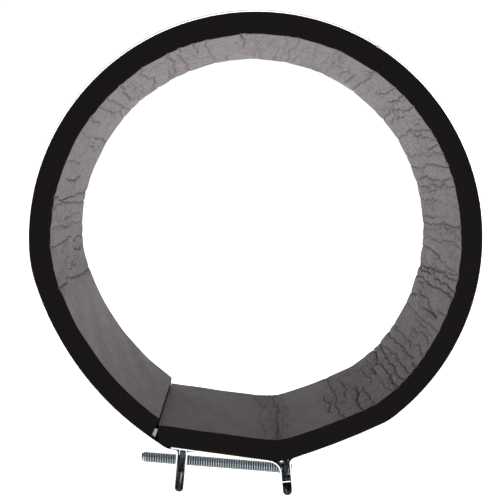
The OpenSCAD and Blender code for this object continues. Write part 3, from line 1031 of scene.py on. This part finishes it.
# %% The four films and their beads
BEADS = {"glue_top": 2, "glue_right": 4, "glue_left": 3, "glue_under_flap": 3}
FIRST_BEAD = {"glue_top": 0.09, "glue_right": 0.5, "glue_left": 0.5, "glue_under_flap": 0.38}
FIRST_SIZE = 0.6
films = {}
for name, (begin_pose, path, side, begin) in film_paths.items():
    rows = rows_along(begin_pose, path, side, begin=begin)
    film = sweep(name, rows, *film_section)
    for k in range(BEADS[name]):
        share = draw.uniform(0.03, 0.80) if k else FIRST_BEAD[name]
        at = side * (rows[0, 4] + share * (rows[-1, 4] - rows[0, 4]))
        row = [np.interp(at, side * rows[:, 4], rows[:, column]) for column in range(4)]
        place = (row[0], row[1], math.degrees(math.atan2(row[3], row[2])) + side * 90)
        y_side = -1 if k % 2 == 0 else 1
        add_bead(film, place, side, y_side, draw.uniform(0.25, 0.45) if k else FIRST_SIZE)
    finish_mesh(film)
    films[name] = dress(add_object(name, film), glue_film)
    print(name, "with", BEADS[name], "beads")
ride_on_ring({part: films["glue_" + part] for part in ("right", "top", "left")}, "glue")
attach(films["glue_under_flap"], "main")
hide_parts("glue_flap")

# %% [markdown]
# ## The screws
#
# Each screw is threaded over its whole length. A thread painted on as bump looks smooth in
# outline, so it is real here: the profile of one thread is laid along a helix, one pitch
# further on for each turn, and the rows are stitched into a skin. At the tips the radius is
# held under a cone, which gives the turned chamfer that every rolled thread starts with.

# %% One pitch of the thread
PITCH, THREAD_SHARE = 1.27, 0.61
THREAD_DEPTH = THREAD_SHARE * PITCH
AROUND = 48
crest = SCREW_D / 2
# Share of the pitch, and how far below the crest
profile = [(0.00, 1.0), (0.06, 0.97), (0.14, 0.82), (0.42, 0.12), (0.46, 0.0), (0.54, 0.0), (0.58, 0.12),
           (0.86, 0.82), (0.94, 0.97)]
print("one pitch of thread has", len(profile), "profile points")

# %% A true helical thread
# How far the cones at both tips start below the crest and rise, and how a nut's mouth opens
TIP_SUNK, TIP_RISE, DRIVE_RISE = 1.9, 0.62, 0.8
MOUTH_OPEN, MOUTH_RISE = 0.1, 0.7


def thread_skin(work, from_x, to_x, bore=0.0):
    """Stitches a threaded wall from from_x to to_x, and returns its two end rings of points.

    bore is the play of a nut's inner thread; 0 makes the outside of a screw.
    """
    groove = work.verts.layers.float.get("groove") or work.verts.layers.float.new("groove")
    loops = []
    for turn in range(math.floor(from_x / PITCH) - 2, math.ceil(to_x / PITCH) + 2):
        for share, sunk in profile:
            loop = []
            for k in range(AROUND + 1):
                angle = 2 * math.pi * k / AROUND
                x = (turn + share + k / AROUND) * PITCH
                radius = crest - THREAD_DEPTH * sunk + bore
                held = min(max(x, from_x), to_x)
                inset = min(held - from_x, to_x - held)
                if bore:
                    radius = max(radius, crest + bore + MOUTH_OPEN - inset * MOUTH_RISE)
                else:
                    tip_cone = crest - THREAD_DEPTH * TIP_SUNK + (held - from_x) * TIP_RISE
                    radius = min(radius, tip_cone, crest - THREAD_DEPTH + (to_x - held) * DRIVE_RISE)
                loop.append((held, angle, radius, sunk))
            loops.append(loop)
    made = {}

    def vert(point):
        held, angle, radius, sunk = point
        turned = round(angle / (2 * math.pi) * AROUND) % AROUND
        key = (round(held, 5), turned, round(radius, 5))
        if key not in made:
            a = 2 * math.pi * turned / AROUND
            made[key] = work.verts.new((held * MM, radius * math.cos(a) * MM, radius * math.sin(a) * MM))
            made[key][groove] = sunk
        return made[key]

    for first, second in zip(loops, loops[1:]):
        for k in range(AROUND):
            ring = [vert(first[k]), vert(first[k + 1]), vert(second[k + 1]), vert(second[k])]
            corners = list(dict.fromkeys(ring))
            if len(corners) > 2:
                work.faces.new(corners)
    start_ring = [made[key] for key in sorted(made) if key[0] == round(from_x, 5)]
    end_ring = [made[key] for key in sorted(made) if key[0] == round(to_x, 5)]
    return start_ring, end_ring


print("a turn of thread has", AROUND, "steps")

# %% Rings and hexagons
CHAMFER, FACE_SHARE = 22, 0.97


def hex_radius(angle, flats):
    """Distance from the middle to a hexagon's side, with flats above and below."""
    part = (angle - math.pi / 2 + math.pi / 6) % (math.pi / 3) - math.pi / 6
    return flats / 2 / math.cos(part)


def ring_of(work, x, radius_at):
    """A ring of points across the axis, with a radius for each angle."""
    angles = [2 * math.pi * k / AROUND for k in range(AROUND)]
    return [work.verts.new((x * MM, radius_at(a) * math.cos(a) * MM, radius_at(a) * math.sin(a) * MM))
            for a in angles]


def bridge(work, first, second):
    """A band of faces between two rings."""
    for k in range(AROUND):
        n = (k + 1) % AROUND
        work.faces.new((first[k], first[n], second[n], second[k]))


def hexagon(work, middle, thick, flats, inner=None):
    """A chamfered hexagon along X. inner joins its faces to the rings of a threaded bore."""
    cone = math.tan(math.radians(CHAMFER))
    face_r = flats / 2 * FACE_SHARE
    rings = []
    for x, inward in ((middle - thick / 2, 1), (middle + thick / 2, -1)):
        face = ring_of(work, x, lambda a: face_r)
        edge = []
        for k in range(AROUND):
            a = 2 * math.pi * k / AROUND
            r = hex_radius(a, flats)
            place = (x + inward * (r - face_r) * cone, r * math.cos(a), r * math.sin(a))
            edge.append(work.verts.new([n * MM for n in place]))
        bridge(work, face, edge)
        rings.append((face, edge))
    bridge(work, rings[0][1], rings[1][1])
    for (face, _), hole in zip(rings, inner or (None, None)):
        if hole:
            bridge(work, hole, face)
        else:
            work.faces.new(face)


print("hexagons are chamfered at", CHAMFER, "degrees")

# %% The screws' sizes
SPARE, STUB = 21.5, 3.7
HEX_AF, HEAD_PLAY = 11.1, 0.2
SOCKET_AF, SOCKET_DEPTH = 3.2, 3.0
head_tilt = math.radians(RIGHT_LEAN + SCREW_TILT)
HEAD_T = (RIGHT_GAP - 2 * HEAD_PLAY - HEX_AF * math.sin(head_tilt)) / math.cos(head_tilt)
left_end, right_end_x = nut_at - SPARE, head_at + STUB
print("each screw is", round(right_end_x - left_end, 1), "mm long")
print("its hexagon is", round(HEAD_T, 2), "mm thick")


# %% From a work mesh to a placed one
def to_mesh(work, name, y):
    """Turns the work mesh into a real one, laid along the screw axis at y."""
    mesh = bpy.data.meshes.new(name)
    bmesh.ops.recalc_face_normals(work, faces=work.faces)
    work.to_mesh(mesh)
    work.free()
    mesh.transform(to_screw @ Matrix.Translation((0, y * MM, 0)))
    finish_mesh(mesh, sharp=40)
    return mesh


print("the screw axis leans", SCREW_TILT, "degrees")

# %% The two screws
for name, y in (("front", -SCREW_Y), ("rear", SCREW_Y)):
    work = bmesh.new()
    tip_ring, drive_ring = thread_skin(work, left_end, right_end_x)
    work.faces.new(tip_ring)
    socket_top = ring_of(work, right_end_x, lambda a: hex_radius(a, SOCKET_AF))
    socket_floor = ring_of(work, right_end_x - SOCKET_DEPTH, lambda a: hex_radius(a, SOCKET_AF))
    bridge(work, drive_ring, socket_top)
    bridge(work, socket_top, socket_floor)
    work.faces.new(socket_floor)
    threaded = len(work.faces)
    hexagon(work, head_at, HEAD_T, HEX_AF)
    work.faces.ensure_lookup_table()
    # The hexagon head takes the nuts' zinc, painted nearly black as the shade inside the right fold.
    for face in work.faces[threaded:]:
        face.material_index = 1
    screw = add_object("screw_" + name + "_thread", to_mesh(work, "screw_" + name, y))
    dress(screw, zinc_screw, zinc_nut)
    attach(screw, name + "_screw")
    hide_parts("screw_" + name)
    print(name, "screw:", len(screw.data.polygons), "faces")

# %% [markdown]
# ## The nuts
#
# Each thin nut sits in the hollow of the left lug. It has the same chamfered hexagon, and a
# bore with the mating thread, a hair wider than the screw's so that the two never touch.

# %% The two nuts
NUT_PLAY, NUT_BORE_PLAY = 0.27, 0.06
SWING = math.radians(4.45)
NUT_T = (LEFT_GAP - 2 * NUT_PLAY - HEX_AF * math.sin(SWING)) / math.cos(SWING)
for name, y in (("front", -SCREW_Y), ("rear", SCREW_Y)):
    work = bmesh.new()
    mouths = thread_skin(work, nut_at - NUT_T / 2, nut_at + NUT_T / 2, bore=NUT_BORE_PLAY)
    hexagon(work, nut_at, NUT_T, HEX_AF, inner=mouths)
    nut = dress(add_object("nut_" + name + "_hex", to_mesh(work, "nut_" + name, y)), zinc_nut)
    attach(nut, name + "_nut")
    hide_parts("nut_" + name)
    print(name, "nut:", round(NUT_T, 2), "mm thick")

# %% [markdown]
# ## Floor
#
# The clamp stands on its two lugs on a plain pale floor. Most of the light in a white studio
# comes back from the floor and brightens the ceiling of the ring more than its bottom, so
# the floor gives off a little light of its own. It stops just short of the lugs.

# %% Floor
FLOOR_HALF, FLOOR_BELOW = 6.0, 0.0005
floor_z = -FOOT_DROP * MM - FLOOR_BELOW
floor_mesh = bpy.data.meshes.new("floor")
corners = [(x * FLOOR_HALF, y * FLOOR_HALF, floor_z) for x, y in ((-1, -1), (1, -1), (1, 1), (-1, 1))]
floor_mesh.from_pydata(corners, [], [(0, 1, 2, 3)])
floor = add_object("floor", floor_mesh)
floor_paint, start = start_material("floor_paint")
place = start.node("ShaderNodeTexCoord", out="Object")
tone = (place * (3.0, 3.0, 3.0)).noise(1.0).choose((0.93, 0.93, 0.93), (0.95, 0.95, 0.95))
close_material(start, {"Base Color": tone, "Roughness": 0.8, "Specular IOR Level": 0.1,
                       "Emission Color": (1, 1, 1), "Emission Strength": 1.3})
floor_mesh.materials.append(floor_paint)
print("the floor lies at z =", round(floor_z / MM, 1), "mm")

# %% [markdown]
# ## World and lamps
#
# Dark foam next to bright metal needs soft light from all round, so a pale world does most
# of the work. An even white world would wash out the metal, so this one is brighter in front
# and behind and dim overhead, while the camera itself sees plain white. Two broad low lamps
# add glints to the thread and to the folds.

# %% World
world = bpy.data.worlds.new("studio")
bpy.context.scene.world = world
world.use_nodes = True
world.node_tree.nodes.clear()
sky = Wire(world.node_tree)
way = sky.node("ShaderNodeTexCoord", out="Generated")
depth = sky.node("ShaderNodeSeparateXYZ", {}, {0: way}, "Y")
height = sky.node("ShaderNodeSeparateXYZ", {}, {0: way}, "Z")
HORIZON, DIMMER_ABOVE, SEEN = 0.95, 0.72, 1.05
SIDES, FRONT_MORE, BACK_MORE = 0.55, 0.75, 0.35
front = (0 - depth).between(0.55, 1.0)
back = depth.between(0.3, 1.0)
light = HORIZON - height.between(0.0, 0.55) * DIMMER_ABOVE
light = light * (SIDES + front * FRONT_MORE + back * BACK_MORE)
seen = sky.node("ShaderNodeLightPath", out="Is Camera Ray")
light = sky.node("ShaderNodeMath", {"operation": "MAXIMUM"}, {0: light, 1: seen * SEEN})
backdrop = sky.node("ShaderNodeBackground", {}, {"Color": (1, 1, 1), "Strength": light})
sky.node("ShaderNodeOutputWorld", {}, {"Surface": backdrop})
print("world:", len(world.node_tree.nodes), "nodes")


# %% Two low lamps
def soft_lamp(name, place, aim, size, power):
    """A round area lamp that faces a point."""
    light = bpy.data.lights.new(name, "AREA")
    light.shape, light.size, light.energy = "DISK", size, power
    lamp = bpy.data.objects.new(name, light)
    bpy.context.scene.collection.objects.link(lamp)
    lamp.location = place
    lamp.rotation_euler = (Vector(aim) - Vector(place)).to_track_quat("-Z", "Y").to_euler()
    print(name, "gives", power, "W")


soft_lamp("low_front", (0.1, -0.8, -0.05), (0, 0, 0.05), 0.5, 2.5)
soft_lamp("low_back", (0.0, 0.9, -0.05), (0, 0, 0.08), 0.5, 3.0)

# %% [markdown]
# ## Camera
#
# The camera looks almost straight along the pipe, a little from above, so that the front edge
# and the skin inside both show. The clamp was tipped a little on its lugs, and turning the
# camera instead of the clamp gives the same view while every piece stays in its place.

# %% Camera
LENS, SENSOR, NEAREST = 53.27, 36.0, 0.01
CAMERA_AT = (-10.6, -403.1, 33.3)
CAMERA_YAW, CAMERA_PITCH, STAND_ROLL = 1.12, 5.64, 2.5
view = bpy.data.cameras.new("view")
view.sensor_width, view.lens, view.clip_start = SENSOR, LENS, NEAREST
camera = bpy.data.objects.new("camera", view)
bpy.context.scene.collection.objects.link(camera)
camera.matrix_world = (
    Matrix.Rotation(math.radians(-STAND_ROLL), 4, "Y")
    @ Matrix.Translation(Vector(CAMERA_AT) * MM)
    @ Matrix.Rotation(math.radians(-CAMERA_YAW), 4, "Z")
    @ Matrix.Rotation(math.radians(90 - CAMERA_PITCH), 4, "X")
)
bpy.context.scene.camera = camera
bpy.context.scene.view_settings.view_transform = "Standard"
print("camera at", [round(n / MM, 1) for n in camera.matrix_world.translation], "mm")
